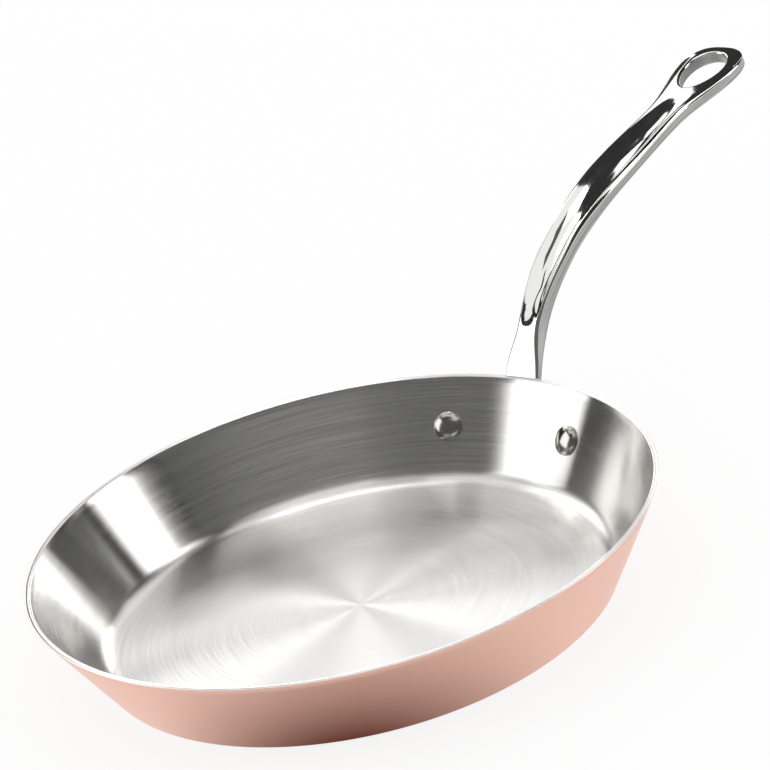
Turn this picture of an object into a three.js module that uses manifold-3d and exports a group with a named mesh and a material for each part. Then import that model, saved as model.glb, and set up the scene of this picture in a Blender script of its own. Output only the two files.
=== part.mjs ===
// A copper frying pan: a clad sheet-metal body, a cast steel handle and the two solid rivets
// that hold them together. Millimetres, +Z up. The origin is the centre of the pan's flat
// underside, and the handle runs out along +X.
import * as THREE from 'three';
import { mergeVertices } from 'three/addons/utils/BufferGeometryUtils.js';
import Module from 'manifold-3d';

const wasm = await Module();
wasm.setup();

const degrees = THREE.MathUtils.degToRad;

// The pan body: three bonded layers of sheet with straight, leaning walls
const rimRadius = 130;
const panHeight = 40.3;
const wallLean = degrees(30.4);
const copperThickness = 0.5;
const coreThickness = 1.1;
const liningThickness = 0.4;
const bondLine = 0.02;
const outerCornerRadius = 3.5;
const innerCornerRadius = 6;
const lipRound = 0.18;
const panFacets = 96;
const cornerSteps = 4;

// Seats: the clearance between pieces that touch
const seatClearance = 0.3;

// The rivets
const rivetHalfSpread = degrees(15.4);
const rivetHeight = 21;
const shankRadius = 3.1;
const innerHeadRadius = 6.25;
const innerHeadRise = 2.5;
const outerHeadRadius = 5.6;
const outerHeadRise = 2.1;
const headEdge = 0.5;
const rivetFacets = 24;
const domeSteps = 5;

// The handle's flange, the winged foot that lies on the wall
const flangeThickness = 3;
const flangeEdge = 0.9;
const padRadius = 9.8;
const flangeFoot = 12;
const flangeCrown = 42;
const flangeCurve = 17;
const flangeFillet = 5.5;
const filletRise = 4.5;
const flangeColumns = 25;

// The crown line, the top of the handle seen from the side
const handleReach = 187.7;
const tipRise = 72.5;
const neckAngle = degrees(65.7);
const tipAngle = degrees(12.2);
const neckPull = 75.2;
const tipPull = 73.5;
const stemFoot = 15;
const stemSections = 5;
const handleSections = 34;
const tipSections = 7;
const sectionGap = 0.9;
const leafEndShares = [0, 0.03, 0.12, 0.35, 0.65];

// Half widths, with the distance from the rim along the crown line at which each is reached
const stemHalfWidth = 10.6;
const rimHalfWidth = 8.5;
const neckHalfWidth = 5.6;
const neckAt = 22;
const throatHalfWidth = 7.7;
const throatAt = 60;
const gripHalfWidth = 10.35;
const gripAt = 112;
const waistHalfWidth = 8.8;
const waistAt = 154;
const bowHalfWidth = 15.1;
const bowAt = 197;

// The round end of the bow: its length and the exponent of its outline
const tipLength = 16;
const tipFullness = 2.6;

// The cross-section: a deep, narrow neck, then a wide grip and bow with sloping shoulders
const neckShoulder = 0.45;
const throatShoulder = 0.9;
const gripShoulder = 2.5;
const waistShoulder = 2.1;
const bowShoulder = 3.6;
const neckShoulderDrop = 0.5;
const gripShoulderDrop = 2.6;
const bowShoulderDrop = 1.6;
const stemSideHeight = 1.2;
const rimSideHeight = 1.9;
const neckSideHeight = 6.4;
const throatSideHeight = 4.3;
const gripSideHeight = 2.6;
const bowSideHeight = 3.4;
const bellyDrop = 0.9;

// The leaf-shaped dish in the top of the grip: a blunt end at the neck, a long one at the bow
const leafDepth = 1.8;
const leafHalfWidth = 6.6;
const leafStart = 23;
const leafBlunt = 13;
const leafTaper = 54;
const leafEnd = 165.5;
const leafMargin = 0.35;

// The hanging eye in the bow
const eyeHalfLength = 14.3;
const eyeHalfWidth = 9.3;
const eyeTaper = 0.18;
const eyeEndWall = 6;
const eyeFlare = 0.7;
const eyeFacets = 36;

// Sizes that follow from the ones above
const wallStack = copperThickness + coreThickness + liningThickness + 2 * bondLine;
const baseRadius = rimRadius - panHeight * Math.tan(wallLean);
const wallSlant = panHeight / Math.cos(wallLean);
const rivetUp = rivetHeight / Math.cos(wallLean);
const rivetRadius = baseRadius + rivetHeight * Math.tan(wallLean);
const holeRadius = shankRadius + seatClearance;

const copper = new THREE.MeshStandardMaterial({ color: 0xc98f78, roughness: 0.32, metalness: 1 });
const aluminium = new THREE.MeshStandardMaterial({ color: 0xd0cfcc, roughness: 0.4, metalness: 1 });
const brushedSteel = new THREE.MeshStandardMaterial({ color: 0xcfcecb, roughness: 0.28, metalness: 1 });
const polishedSteel = new THREE.MeshStandardMaterial({ color: 0xdddcda, roughness: 0.08, metalness: 1 });

// Turns a closed geometry into a solid that can be joined and cut.
function solidFrom(geometry) {
  const bare = geometry.clone();
  bare.deleteAttribute('normal');
  bare.deleteAttribute('uv');
  const merged = mergeVertices(bare, 1e-4);
  const triangles = [];
  for (let i = 0; i < merged.index.count; i += 3) {
    const [a, b, c] = [0, 1, 2].map((k) => merged.index.getX(i + k));
    if (a !== b && b !== c && c !== a) triangles.push(a, b, c);
  }
  return new wasm.Manifold(new wasm.Mesh({
    numProp: 3,
    vertProperties: merged.getAttribute('position').array,
    triVerts: new Uint32Array(triangles),
  }));
}

// Turns a solid back into a geometry.
function geometryFrom(solid) {
  const mesh = solid.getMesh();
  const geometry = new THREE.BufferGeometry();
  geometry.setAttribute('position', new THREE.BufferAttribute(mesh.vertProperties, 3));
  geometry.setIndex(new THREE.BufferAttribute(mesh.triVerts, 1));
  geometry.computeVertexNormals();
  return geometry;
}

// Skins a row of closed sections, all with the same number of points, and caps both ends.
function loft(sections) {
  const around = sections[0].length;
  const last = sections.length - 1;
  const points = sections.flat();
  const triangles = [];
  for (let s = 0; s < last; s += 1) {
    for (let k = 0; k < around; k += 1) {
      const next = (k + 1) % around;
      const [a, b] = [s * around + k, s * around + next];
      triangles.push(a, b + around, b, a, a + around, b + around);
    }
  }
  for (const s of [0, last]) {
    const middle = new THREE.Vector3();
    sections[s].forEach((point) => middle.addScaledVector(point, 1 / around));
    const hub = points.push(middle) - 1;
    for (let k = 0; k < around; k += 1) {
      const [a, b] = [s * around + k, s * around + ((k + 1) % around)];
      triangles.push(...(s === 0 ? [hub, a, b] : [hub, b, a]));
    }
  }
  const geometry = new THREE.BufferGeometry().setFromPoints(points);
  geometry.setIndex(triangles);
  return geometry;
}

// Eases from one [distance, value] station to the next and holds the value past both ends.
function along(stations, distance) {
  const after = stations.findIndex(([at]) => at > distance);
  if (after === -1) return stations[stations.length - 1][1];
  if (after === 0) return stations[0][1];
  const [[from, low], [to, high]] = [stations[after - 1], stations[after]];
  return low + (high - low) * THREE.MathUtils.smoothstep(distance, from, to);
}

// A point beside the pan's outer wall: an azimuth, a distance up the slant and one off the wall.
function wallPoint(azimuth, up, off) {
  const radius = baseRadius + up * Math.sin(wallLean) + off * Math.cos(wallLean);
  const height = up * Math.cos(wallLean) - off * Math.sin(wallLean);
  return new THREE.Vector3(radius * Math.cos(azimuth), radius * Math.sin(azimuth), height);
}

// The pan's half section at a depth inside its outer surface, from the axis out to the rim.
function panSurface(depth) {
  const share = depth / wallStack;
  const corner = THREE.MathUtils.lerp(outerCornerRadius, innerCornerRadius, share);
  const bend = Math.PI / 2 - wallLean;
  const inset = depth / Math.cos(wallLean);
  const cornerX = baseRadius + depth * Math.tan(wallLean) - inset;
  const centreX = cornerX - corner * Math.tan(bend / 2);
  const points = [new THREE.Vector2(0, depth)];
  for (let i = 0; i <= cornerSteps; i += 1) {
    const turn = (bend * i) / cornerSteps;
    points.push(new THREE.Vector2(
      centreX + corner * Math.sin(turn),
      depth + corner * (1 - Math.cos(turn)),
    ));
  }
  points.push(new THREE.Vector2(rimRadius - inset, panHeight));
  return points;
}

// One bonded layer of the sheet, between two depths, with its free lip edge eased.
function panLayer(outerDepth, innerDepth, easeOuter, easeInner) {
  const outside = panSurface(outerDepth);
  const inside = panSurface(innerDepth);
  const eased = (surface, sign) => {
    const lip = surface.pop();
    surface.push(new THREE.Vector2(lip.x - lipRound * Math.tan(wallLean), lip.y - lipRound));
    surface.push(new THREE.Vector2(lip.x + sign * lipRound, lip.y));
  };
  if (easeOuter) eased(outside, -1);
  if (easeInner) eased(inside, 1);
  const layer = new THREE.LatheGeometry([...outside, ...inside.reverse()], panFacets);
  return layer.rotateX(Math.PI / 2);
}

// Places a piece that was turned about +Y so that it points out through the wall at a rivet.
function placeAtRivet(geometry, azimuth) {
  const outward = wallPoint(azimuth, 0, 1).sub(wallPoint(azimuth, 0, 0));
  const turn = new THREE.Quaternion().setFromUnitVectors(new THREE.Vector3(0, 1, 0), outward);
  const spot = wallPoint(azimuth, rivetUp, 0);
  return geometry.applyQuaternion(turn).translate(spot.x, spot.y, spot.z);
}

// The clearance hole of one rivet, long enough to pass through the wall and the flange.
function rivetHole(azimuth) {
  const length = 4 * (wallStack + flangeThickness);
  const hole = new THREE.CylinderGeometry(holeRadius, holeRadius, length, rivetFacets);
  return solidFrom(placeAtRivet(hole, azimuth));
}

// One side of a rivet head: a short straight edge under a round dome, from the seat to the axis.
function headProfile(radius, rise) {
  const dome = rise - headEdge;
  const sphere = (radius * radius + dome * dome) / (2 * dome);
  const points = [new THREE.Vector2(radius, 0)];
  for (let i = 0; i < domeSteps; i += 1) {
    const angle = Math.asin(radius / sphere) * (1 - i / domeSteps);
    points.push(new THREE.Vector2(sphere * Math.sin(angle), rise - sphere * (1 - Math.cos(angle))));
  }
  points.push(new THREE.Vector2(0, rise));
  return points;
}

// A solid rivet: a domed head inside the pan, the shank, and the head that closes it outside.
function rivet(azimuth) {
  const innerSeat = -wallStack - seatClearance;
  const outerSeat = flangeThickness + 2 * seatClearance;
  const inner = headProfile(innerHeadRadius, innerHeadRise);
  const outer = headProfile(outerHeadRadius, outerHeadRise);
  const profile = [
    ...inner.reverse().map((point) => new THREE.Vector2(point.x, innerSeat - point.y)),
    new THREE.Vector2(shankRadius, innerSeat),
    new THREE.Vector2(shankRadius, outerSeat),
    ...outer.map((point) => new THREE.Vector2(point.x, outerSeat + point.y)),
  ];
  return placeAtRivet(new THREE.LatheGeometry(profile, rivetFacets), azimuth);
}

// The flange: sections across the wall, swept round it from one rivet pad to the other. Each
// back lies on the leaning wall, and each front swells and is rounded off at both edges. The top
// runs up into the stem along a quarter round.
function flange() {
  const reach = rivetHalfSpread * rivetRadius;
  const across = [-1, -0.93, -0.75, 0, 0.75, 0.93, 1];
  const sections = [];
  const tip = 0.985;
  for (let i = -flangeColumns; i <= flangeColumns; i += 1) {
    const sweep = Math.sin((Math.PI / 2) * (i / flangeColumns));
    const side = Math.abs(sweep) * (reach + padRadius * tip);
    const past = Math.max(0, side - reach) / padRadius;
    const round = Math.sqrt(1 - past * past);
    const blend = THREE.MathUtils.smoothstep(side, rimHalfWidth, rimHalfWidth + flangeCurve);
    const climb = THREE.MathUtils.clamp((rimHalfWidth + flangeFillet - side) / flangeFillet, 0, 1);
    const fillet = filletRise * (1 - Math.sqrt(1 - climb * climb));
    const top = fillet + THREE.MathUtils.lerp(flangeCrown, rivetUp + padRadius * round, blend);
    const foot = THREE.MathUtils.lerp(flangeFoot, rivetUp - padRadius * round, blend);
    const [middle, half] = [(top + foot) / 2, (top - foot) / 2];
    const azimuth = (Math.sign(sweep) * side) / rivetRadius;
    const back = [1, -1].map((v) => wallPoint(azimuth, middle + half * v, seatClearance));
    const front = across.map((v) => {
      const swell = Math.sqrt(1 - Math.max(past, Math.abs(v)) ** 6);
      const rise = flangeEdge + (flangeThickness - flangeEdge) * swell;
      return wallPoint(azimuth, middle + half * v, seatClearance + rise);
    });
    sections.push([...back, ...front]);
  }
  return loft(sections);
}

// The crown line leaves the wall at the rim and levels off towards the tip.
function crownLine() {
  const start = wallPoint(0, wallSlant, seatClearance);
  const from = new THREE.Vector2(start.x, start.z);
  const to = new THREE.Vector2(rimRadius + handleReach, panHeight + tipRise);
  const leave = new THREE.Vector2(Math.cos(neckAngle), Math.sin(neckAngle));
  const arrive = new THREE.Vector2(Math.cos(tipAngle), Math.sin(tipAngle));
  return new THREE.CubicBezierCurve(
    from,
    from.clone().addScaledVector(leave, neckPull),
    to.clone().addScaledVector(arrive, -tipPull),
    to,
  );
}

const crown = crownLine();
const crownLength = crown.getLength();

// The handle's sizes at a distance along the crown line. Below the rim the distance is negative.
function handleSizes(distance) {
  const stemStart = stemFoot - wallSlant;
  const tip = Math.max(0, distance - (crownLength - tipLength)) / tipLength;
  const round = (1 - tip ** tipFullness) ** (1 / tipFullness);
  const halfWidth = round * along([
    [stemStart, stemHalfWidth], [0, rimHalfWidth], [neckAt, neckHalfWidth],
    [throatAt, throatHalfWidth], [gripAt, gripHalfWidth], [waistAt, waistHalfWidth],
    [bowAt, bowHalfWidth],
  ], distance);
  const drop = along([
    [neckAt, neckShoulderDrop], [(throatAt + gripAt) / 2, gripShoulderDrop],
    [(gripAt + waistAt) / 2, gripShoulderDrop], [bowAt, bowShoulderDrop],
  ], distance);
  const side = along([
    [stemStart, stemSideHeight], [0, rimSideHeight], [neckAt, neckSideHeight],
    [throatAt, throatSideHeight], [gripAt, gripSideHeight], [bowAt, bowSideHeight],
  ], distance);
  const shoulder = along([
    [neckAt, neckShoulder], [throatAt, throatShoulder], [gripAt, gripShoulder],
    [waistAt, waistShoulder], [bowAt, bowShoulder],
  ], distance);
  const crest = Math.max(halfWidth / 2, halfWidth - round * shoulder);
  const leaf = Math.max(0, Math.min(leafHalfWidth * leafShare(distance), crest - leafMargin));
  return { halfWidth, crest, drop: Math.min(drop, halfWidth / 2), side, leaf };
}

// The leaf's width along the crown line, as a share of its widest: a short quarter ellipse at the
// neck and a long one at the bow.
function leafShare(distance) {
  const fromNeck = THREE.MathUtils.clamp((distance - leafStart) / leafBlunt, 0, 1);
  const fromBow = THREE.MathUtils.clamp((leafEnd - distance) / leafTaper, 0, 1);
  return Math.sqrt(1 - (1 - fromNeck) ** 2) * Math.sqrt(1 - (1 - fromBow) ** 2);
}

// Half of a cross-section, from the middle of the top round to the middle of the underside.
// Each point is [sideways, upwards] from the crown line.
function halfSection({ halfWidth, crest, drop, side, leaf }) {
  const dish = leafDepth * (leaf / leafHalfWidth);
  const edge = Math.max(leaf, crest / 3);
  const trough = [0, 0.4, 0.75, 1].map((share) => [share * edge, -dish * (1 - share * share)]);
  const shoulder = [0, 30, 60, 90].map((angle) => [
    crest + (halfWidth - crest) * Math.sin(degrees(angle)),
    -drop * (1 - Math.cos(degrees(angle))),
  ]);
  const under = -drop - side;
  const corner = Math.min(bellyDrop, halfWidth / 3);
  return [
    ...trough,
    ...shoulder,
    [halfWidth, under],
    [halfWidth - 0.35 * corner, under - 0.65 * bellyDrop],
    [halfWidth - corner, under - bellyDrop],
    [0, under - bellyDrop],
  ];
}

// A whole cross-section, set square to a line that runs through a point at a slope.
function handleSection(point, slope, sizes) {
  const half = halfSection(sizes);
  const other = half.slice(1, -1).reverse().map(([sideways, upwards]) => [-sideways, upwards]);
  return [...half, ...other].map(([sideways, upwards]) => new THREE.Vector3(
    point.x - upwards * Math.sin(slope),
    sideways,
    point.y + upwards * Math.cos(slope),
  ));
}

// The stem behind the rim follows the wall, and the arm above it follows the crown line.
function handleArm() {
  const sections = [];
  for (let i = 0; i < stemSections; i += 1) {
    const up = THREE.MathUtils.lerp(stemFoot, wallSlant, i / stemSections);
    const at = wallPoint(0, up, seatClearance);
    const slope = Math.PI / 2 - wallLean;
    sections.push(handleSection(new THREE.Vector2(at.x, at.z), slope, handleSizes(up - wallSlant)));
  }
  const straight = crownLength - tipLength;
  const distances = leafEndShares.flatMap((share) => [
    leafStart + share * leafBlunt, leafEnd - share * leafTaper,
  ]);
  const near = (distance) => distances.some((other) => Math.abs(other - distance) < sectionGap);
  for (let i = 0; i < handleSections; i += 1) {
    const distance = (straight * i) / handleSections;
    if (!near(distance)) distances.push(distance);
  }
  for (let i = 0; i < tipSections; i += 1) {
    distances.push(straight + tipLength * Math.sin((Math.PI / 2) * (i / tipSections)));
  }
  distances.sort((a, b) => a - b);
  for (const distance of distances) {
    const share = distance / crownLength;
    const tangent = crown.getTangentAt(share);
    const slope = Math.atan2(tangent.y, tangent.x);
    sections.push(handleSection(crown.getPointAt(share), slope, handleSizes(distance)));
  }
  return loft(sections);
}

// The hanging eye: an egg-shaped hole square to the bow, flared where it meets both faces.
function eyeCutter() {
  const middle = crownLength - eyeEndWall - eyeHalfLength;
  const { drop, side } = handleSizes(middle);
  const floor = -drop - side - bellyDrop;
  const spot = crown.getPointAt(middle / crownLength);
  const tangent = crown.getTangentAt(middle / crownLength);
  const slope = Math.atan2(tangent.y, tangent.x);
  const levels = [
    [2, 3 * eyeFlare], [0, eyeFlare], [-eyeFlare, 0],
    [floor + eyeFlare, 0], [floor, eyeFlare], [floor - 2, 3 * eyeFlare],
  ];
  const rings = levels.map(([upwards, wider]) => {
    const ring = [];
    for (let k = 0; k < eyeFacets; k += 1) {
      const turn = (2 * Math.PI * k) / eyeFacets;
      const lengthways = (eyeHalfLength + wider) * Math.cos(turn);
      const sideways = (eyeHalfWidth + wider) * Math.sin(turn) * (1 + eyeTaper * Math.cos(turn));
      ring.push(new THREE.Vector3(
        spot.x + lengthways * Math.cos(slope) - upwards * Math.sin(slope),
        sideways,
        spot.y + lengthways * Math.sin(slope) + upwards * Math.cos(slope),
      ));
    }
    return ring;
  });
  return solidFrom(loft(rings));
}

const rivetAzimuths = { rivet_left: rivetHalfSpread, rivet_right: -rivetHalfSpread };
const holes = Object.values(rivetAzimuths).map(rivetHole);

// Cuts the rivet holes through a piece.
function drilled(solid) {
  return holes.reduce((piece, hole) => piece.subtract(hole), solid);
}

const pan = new THREE.Group();

// Adds one named piece to the pan.
function addPiece(name, geometry, material) {
  const mesh = new THREE.Mesh(geometry, material);
  mesh.name = name;
  pan.add(mesh);
}

const coreOuter = copperThickness + bondLine;
const coreInner = coreOuter + coreThickness;
const liningOuter = coreInner + bondLine;
const layers = [
  ['copper_shell', panLayer(0, copperThickness, true, false), copper],
  ['aluminium_core', panLayer(coreOuter, coreInner, false, false), aluminium],
  ['steel_lining', panLayer(liningOuter, wallStack, false, true), brushedSteel],
];
for (const [name, geometry, material] of layers) {
  addPiece(name, geometryFrom(drilled(solidFrom(geometry))), material);
}

const arm = solidFrom(handleArm()).add(solidFrom(flange())).subtract(eyeCutter());
addPiece('handle', geometryFrom(drilled(arm)), polishedSteel);

for (const [name, azimuth] of Object.entries(rivetAzimuths)) {
  addPiece(name, rivet(azimuth), polishedSteel);
}

export default pan;
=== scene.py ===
# %% [markdown]
# # A copper frying pan
#
# The pan is a bowl of three bonded sheets, a cast steel handle and two solid rivets. The solids
# that fix its sizes are loaded first. They are flat-sided, which a mirror finish would show, so
# each one is then replaced by a smooth surface of the same size. All sizes below are written in
# millimetres, and turned into metres once, when a mesh is made.

# %% Load the solids
import bmesh
import bpy
import numpy as np
from mathutils import Matrix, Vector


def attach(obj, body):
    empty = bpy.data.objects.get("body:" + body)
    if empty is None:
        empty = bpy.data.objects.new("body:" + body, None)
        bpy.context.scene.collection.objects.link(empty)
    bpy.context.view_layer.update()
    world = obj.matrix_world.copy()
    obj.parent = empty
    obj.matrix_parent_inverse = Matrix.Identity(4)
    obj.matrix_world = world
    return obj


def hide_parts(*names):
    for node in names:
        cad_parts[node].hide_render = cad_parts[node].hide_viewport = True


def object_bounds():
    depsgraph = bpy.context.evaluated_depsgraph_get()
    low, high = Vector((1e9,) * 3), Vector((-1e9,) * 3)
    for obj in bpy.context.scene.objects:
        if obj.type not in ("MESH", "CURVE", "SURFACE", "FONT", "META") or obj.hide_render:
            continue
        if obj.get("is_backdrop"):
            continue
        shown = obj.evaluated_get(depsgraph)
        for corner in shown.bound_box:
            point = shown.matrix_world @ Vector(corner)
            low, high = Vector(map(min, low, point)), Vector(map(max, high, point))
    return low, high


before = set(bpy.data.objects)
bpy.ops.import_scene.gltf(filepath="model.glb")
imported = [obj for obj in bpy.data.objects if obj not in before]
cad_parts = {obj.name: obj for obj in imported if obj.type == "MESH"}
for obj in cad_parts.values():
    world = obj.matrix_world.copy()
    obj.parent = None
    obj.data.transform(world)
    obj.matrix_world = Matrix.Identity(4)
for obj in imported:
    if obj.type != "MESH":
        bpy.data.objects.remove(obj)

solids_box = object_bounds()
print("solids:", sorted(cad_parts))

# %% [markdown]
# ## Meshes from whole arrays
#
# Every surface here is a grid: one index runs along a profile and the other runs round it or
# across it. Grids could be made one vertex at a time, but numpy works out a whole grid at once.
# A piece can have several grids that share edges, so the doubled points are merged at the end.
# Each grid also carries texture positions, and a number from 0 to 1 that says how satin it is.

# %% Faces and texture positions of a grid
def grid_faces(rows, columns, first=0):
    """Four-sided faces between neighbouring rows and columns of points numbered row by row."""
    corner = first + np.arange(rows - 1)[:, None] * columns + np.arange(columns - 1)
    return np.stack([corner, corner + 1, corner + columns + 1, corner + columns], -1).reshape(-1, 4)


def grid_uv(along, across):
    """One texture position per face corner: the first value runs along, the second across."""
    u, v = np.meshgrid(along, across, indexing="ij")
    uv = np.stack([u, v], -1).reshape(-1, 2)
    return uv[grid_faces(len(along), len(across))].reshape(-1, 2)


print("a grid of 3 by 2 points:", grid_faces(3, 2).tolist())

# %% One mesh from several grids
MILLIMETRE = 0.001
UV_NAME = "along_and_across"


def make_piece(name, patches, merge=1e-6):
    """A smooth mesh from patches. Each patch gives points in a grid, flipped or not, the texture
    positions of its face corners, and how satin its points are, from 0 to 1."""
    points, faces, uvs, satins, first = [], [], [], [], 0
    for patch in patches:
        rows, columns = patch["points"].shape[:2]
        quads = grid_faces(rows, columns, first)
        uv = grid_uv(*patch["uv"]).reshape(-1, 4, 2)
        if patch.get("flip"):
            quads, uv = quads[:, ::-1], uv[:, ::-1]
        points.append(patch["points"].reshape(-1, 3))
        faces.append(quads)
        uvs.append(uv.reshape(-1, 2))
        satins.append(np.broadcast_to(patch.get("satin", 0.0), (rows, columns)).ravel())
        first += rows * columns
    mesh = bpy.data.meshes.new(name)
    mesh.from_pydata((np.concatenate(points) * MILLIMETRE).tolist(), [],
                     np.concatenate(faces).tolist())
    layer = mesh.uv_layers.new(name=UV_NAME)
    layer.data.foreach_set("uv", np.concatenate(uvs).ravel().astype(np.float32))
    satin = mesh.attributes.new("satin", "FLOAT", "POINT")
    satin.data.foreach_set("value", np.concatenate(satins).astype(np.float32))
    work = bmesh.new()
    work.from_mesh(mesh)
    bmesh.ops.remove_doubles(work, verts=work.verts, dist=merge)
    bmesh.ops.dissolve_degenerate(work, edges=work.edges, dist=merge / 10)
    loose_edges = sum(edge.is_boundary for edge in work.edges)
    work.to_mesh(mesh)
    work.free()
    mesh.polygons.foreach_set("use_smooth", np.ones(len(mesh.polygons), bool))
    mesh.update()
    piece = bpy.data.objects.new(name, mesh)
    bpy.context.scene.collection.objects.link(piece)
    print(f"{name}: {len(mesh.polygons)} faces, {loose_edges} open edges")
    return piece


# %% [markdown]
# ## The bowl
#
# The real bowl is pressed from one sheet of three metals: copper outside, aluminium in the
# middle and steel inside. A solid of that kind is a profile turned round an axis. Blender has a
# Screw modifier for it, but a turned grid in numpy also gives the texture positions that the
# brushed finish needs. A depth of 0 is the copper's outer face, and the full wall is 2.04 mm.
# Outside, the floor meets the wall in a tight round. Inside, the round is wider, and it shows as
# a soft bright line where the floor ends.

# %% Sizes of the bowl
RIM_RADIUS, PAN_HEIGHT = 130.0, 40.3
WALL_LEAN = np.radians(30.4)
COPPER, CORE, STEEL, BOND = 0.5, 1.1, 0.4, 0.02
WALL = COPPER + CORE + STEEL + 2 * BOND
OUTER_CORNER, INNER_CORNER = 3.5, 9.0
BASE_RADIUS = RIM_RADIUS - PAN_HEIGHT * np.tan(WALL_LEAN)
WALL_SLANT = PAN_HEIGHT / np.cos(WALL_LEAN)
FLOOR_STEPS, CORNER_STEPS, WALL_STEPS, ROUND_STEPS = 39, 16, 13, 256
UV_LENGTH = 100.0
print(f"bowl: floor {2 * BASE_RADIUS:.1f} mm across, wall {WALL_SLANT:.1f} mm along its slant")


# %% The bowl's profile, turned round
def bowl_surface(depth, lip_drop=0.0):
    """Half of the bowl's section at a depth in the sheet: a flat floor, an arc that turns by the
    wall's angle, and a straight wall that ends lip_drop below the rim."""
    corner = OUTER_CORNER + (INNER_CORNER - OUTER_CORNER) * depth / WALL
    bend = np.pi / 2 - WALL_LEAN
    inset = depth / np.cos(WALL_LEAN)
    centre = BASE_RADIUS + depth * np.tan(WALL_LEAN) - inset - corner * np.tan(bend / 2)
    floor = np.stack([np.linspace(0, centre, FLOOR_STEPS + 1)[:-1],
                      np.full(FLOOR_STEPS, depth)], -1)
    turn = np.linspace(0, bend, CORNER_STEPS + 1)
    arc = np.stack([centre + corner * np.sin(turn), depth + corner * (1 - np.cos(turn))], -1)
    top = PAN_HEIGHT - lip_drop
    rise = np.linspace(arc[-1, 1], top, WALL_STEPS + 1)[1:]
    wall = RIM_RADIUS - inset - (PAN_HEIGHT - rise) * np.tan(WALL_LEAN)
    return np.concatenate([floor, arc, np.stack([wall, rise], -1)])


def eased_edge(below, above, steps=5):
    """A small round between two points: it leaves the first along the wall and reaches the second
    level, as x and z that each move by a quarter sine."""
    turn = np.linspace(0, np.pi / 2, steps + 1)[1:]
    return np.stack([below[0] + (above[0] - below[0]) * (1 - np.cos(turn)),
                     below[1] + (above[1] - below[1]) * np.sin(turn)], -1)


def turned(profile, steps=ROUND_STEPS):
    """A profile of radius and height turned round +Z: x = r cos a, y = r sin a, z = z."""
    angle = np.linspace(0, 2 * np.pi, steps + 1)
    radius, height = profile[:, 0, None], profile[:, 1, None]
    points = np.stack(np.broadcast_arrays(radius * np.cos(angle), radius * np.sin(angle), height),
                      -1)
    length = np.concatenate([[0], np.cumsum(np.hypot(*np.diff(profile, axis=0).T))])
    return {"points": points, "uv": (length / UV_LENGTH, angle / (2 * np.pi))}


# %% Turn the three sheets
LIP = 0.18


def bowl_layer(name, outer_depth, inner_depth, lip_outer=0.0, lip_inner=0.0):
    """One sheet of the bowl, from one depth to another, with its free lip edges eased."""
    outside, inside = bowl_surface(outer_depth, lip_outer), bowl_surface(inner_depth, lip_inner)
    edge = RIM_RADIUS - np.array([outer_depth, inner_depth]) / np.cos(WALL_LEAN)
    if lip_outer:
        top = (edge[0] - lip_outer, PAN_HEIGHT)
        outside = np.concatenate([outside, eased_edge(outside[-1], top)])
    if lip_inner:
        top = (edge[1] + lip_inner, PAN_HEIGHT)
        inside = np.concatenate([inside, eased_edge(inside[-1], top)])
    return make_piece(name, [turned(np.concatenate([outside, inside[::-1]]))])


copper_skin = bowl_layer("copper_skin", 0, COPPER, lip_outer=LIP)
core_band = bowl_layer("core_band", COPPER + BOND, COPPER + BOND + CORE)
steel_bowl = bowl_layer("steel_bowl", WALL - STEEL, WALL, lip_inner=LIP)

# %% [markdown]
# ## The rivets
#
# Each rivet is one turned solid: a domed head inside the pan, a shank through the wall and the
# flange, and a second head outside. It is turned round its own line, which stands square to the
# leaning wall. The heads are shallow domes with a soft round at the edge, not half balls.

# %% Sizes of the rivets
RIVET_SPREAD, RIVET_HEIGHT = np.radians(15.4), 21.0
SHANK, SEAT = 3.1, 0.3
INNER_HEAD, OUTER_HEAD = (6.25, 2.5), (5.6, 2.1)
HEAD_EDGE, DOME_SHARE, DOME_STEPS = 0.5, 0.62, 28
FLANGE = 3.0
RIVET_UP = RIVET_HEIGHT / np.cos(WALL_LEAN)
RIVET_RADIUS = BASE_RADIUS + RIVET_HEIGHT * np.tan(WALL_LEAN)
print(f"rivets: {2 * RIVET_RADIUS * np.sin(RIVET_SPREAD):.1f} mm from middle to middle")


# %% A rivet, square to the leaning wall
def wall_point(azimuth, up, off):
    """A point near the outer wall: up is measured on the slant and off is square to the wall."""
    radius = BASE_RADIUS + up * np.sin(WALL_LEAN) + off * np.cos(WALL_LEAN)
    height = up * np.cos(WALL_LEAN) - off * np.sin(WALL_LEAN)
    return np.stack(np.broadcast_arrays(radius * np.cos(azimuth), radius * np.sin(azimuth), height),
                    -1)


def head_profile(radius, rise):
    """Half of a head: a short wall, then a dome. Part of its height falls with the square of the
    distance from the middle, and the rest follows a fuller curve that drops near the edge."""
    share = np.sin(np.linspace(np.pi / 2, 0, DOME_STEPS))
    shallow, full = 1 - share ** 2, np.sqrt(1 - share ** 6)
    dome = (rise - HEAD_EDGE) * (DOME_SHARE * shallow + (1 - DOME_SHARE) * full)
    wall = np.stack([np.full(3, radius), np.linspace(0, HEAD_EDGE * 0.9, 3)], -1)
    return np.concatenate([wall, np.stack([share * radius, HEAD_EDGE + dome], -1)])


def rivet(name, azimuth, steps=72):
    """The rivet's profile turned round the line that is square to the wall at its azimuth."""
    inner = head_profile(*INNER_HEAD) * (1, -1) - (0, WALL + SEAT)
    outer = head_profile(*OUTER_HEAD) + (0, FLANGE + 2 * SEAT)
    profile = np.concatenate([inner[::-1], [[SHANK, inner[0, 1]], [SHANK, outer[0, 1]]], outer])
    patch = turned(profile, steps)
    out = wall_point(azimuth, 0, 1) - wall_point(azimuth, 0, 0)
    side = np.array([-np.sin(azimuth), np.cos(azimuth), 0])
    axes = np.stack([np.cross(side, out), side, out])
    patch["points"] = patch["points"] @ axes + wall_point(azimuth, RIVET_UP, 0)
    return make_piece(name, [patch])


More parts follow.
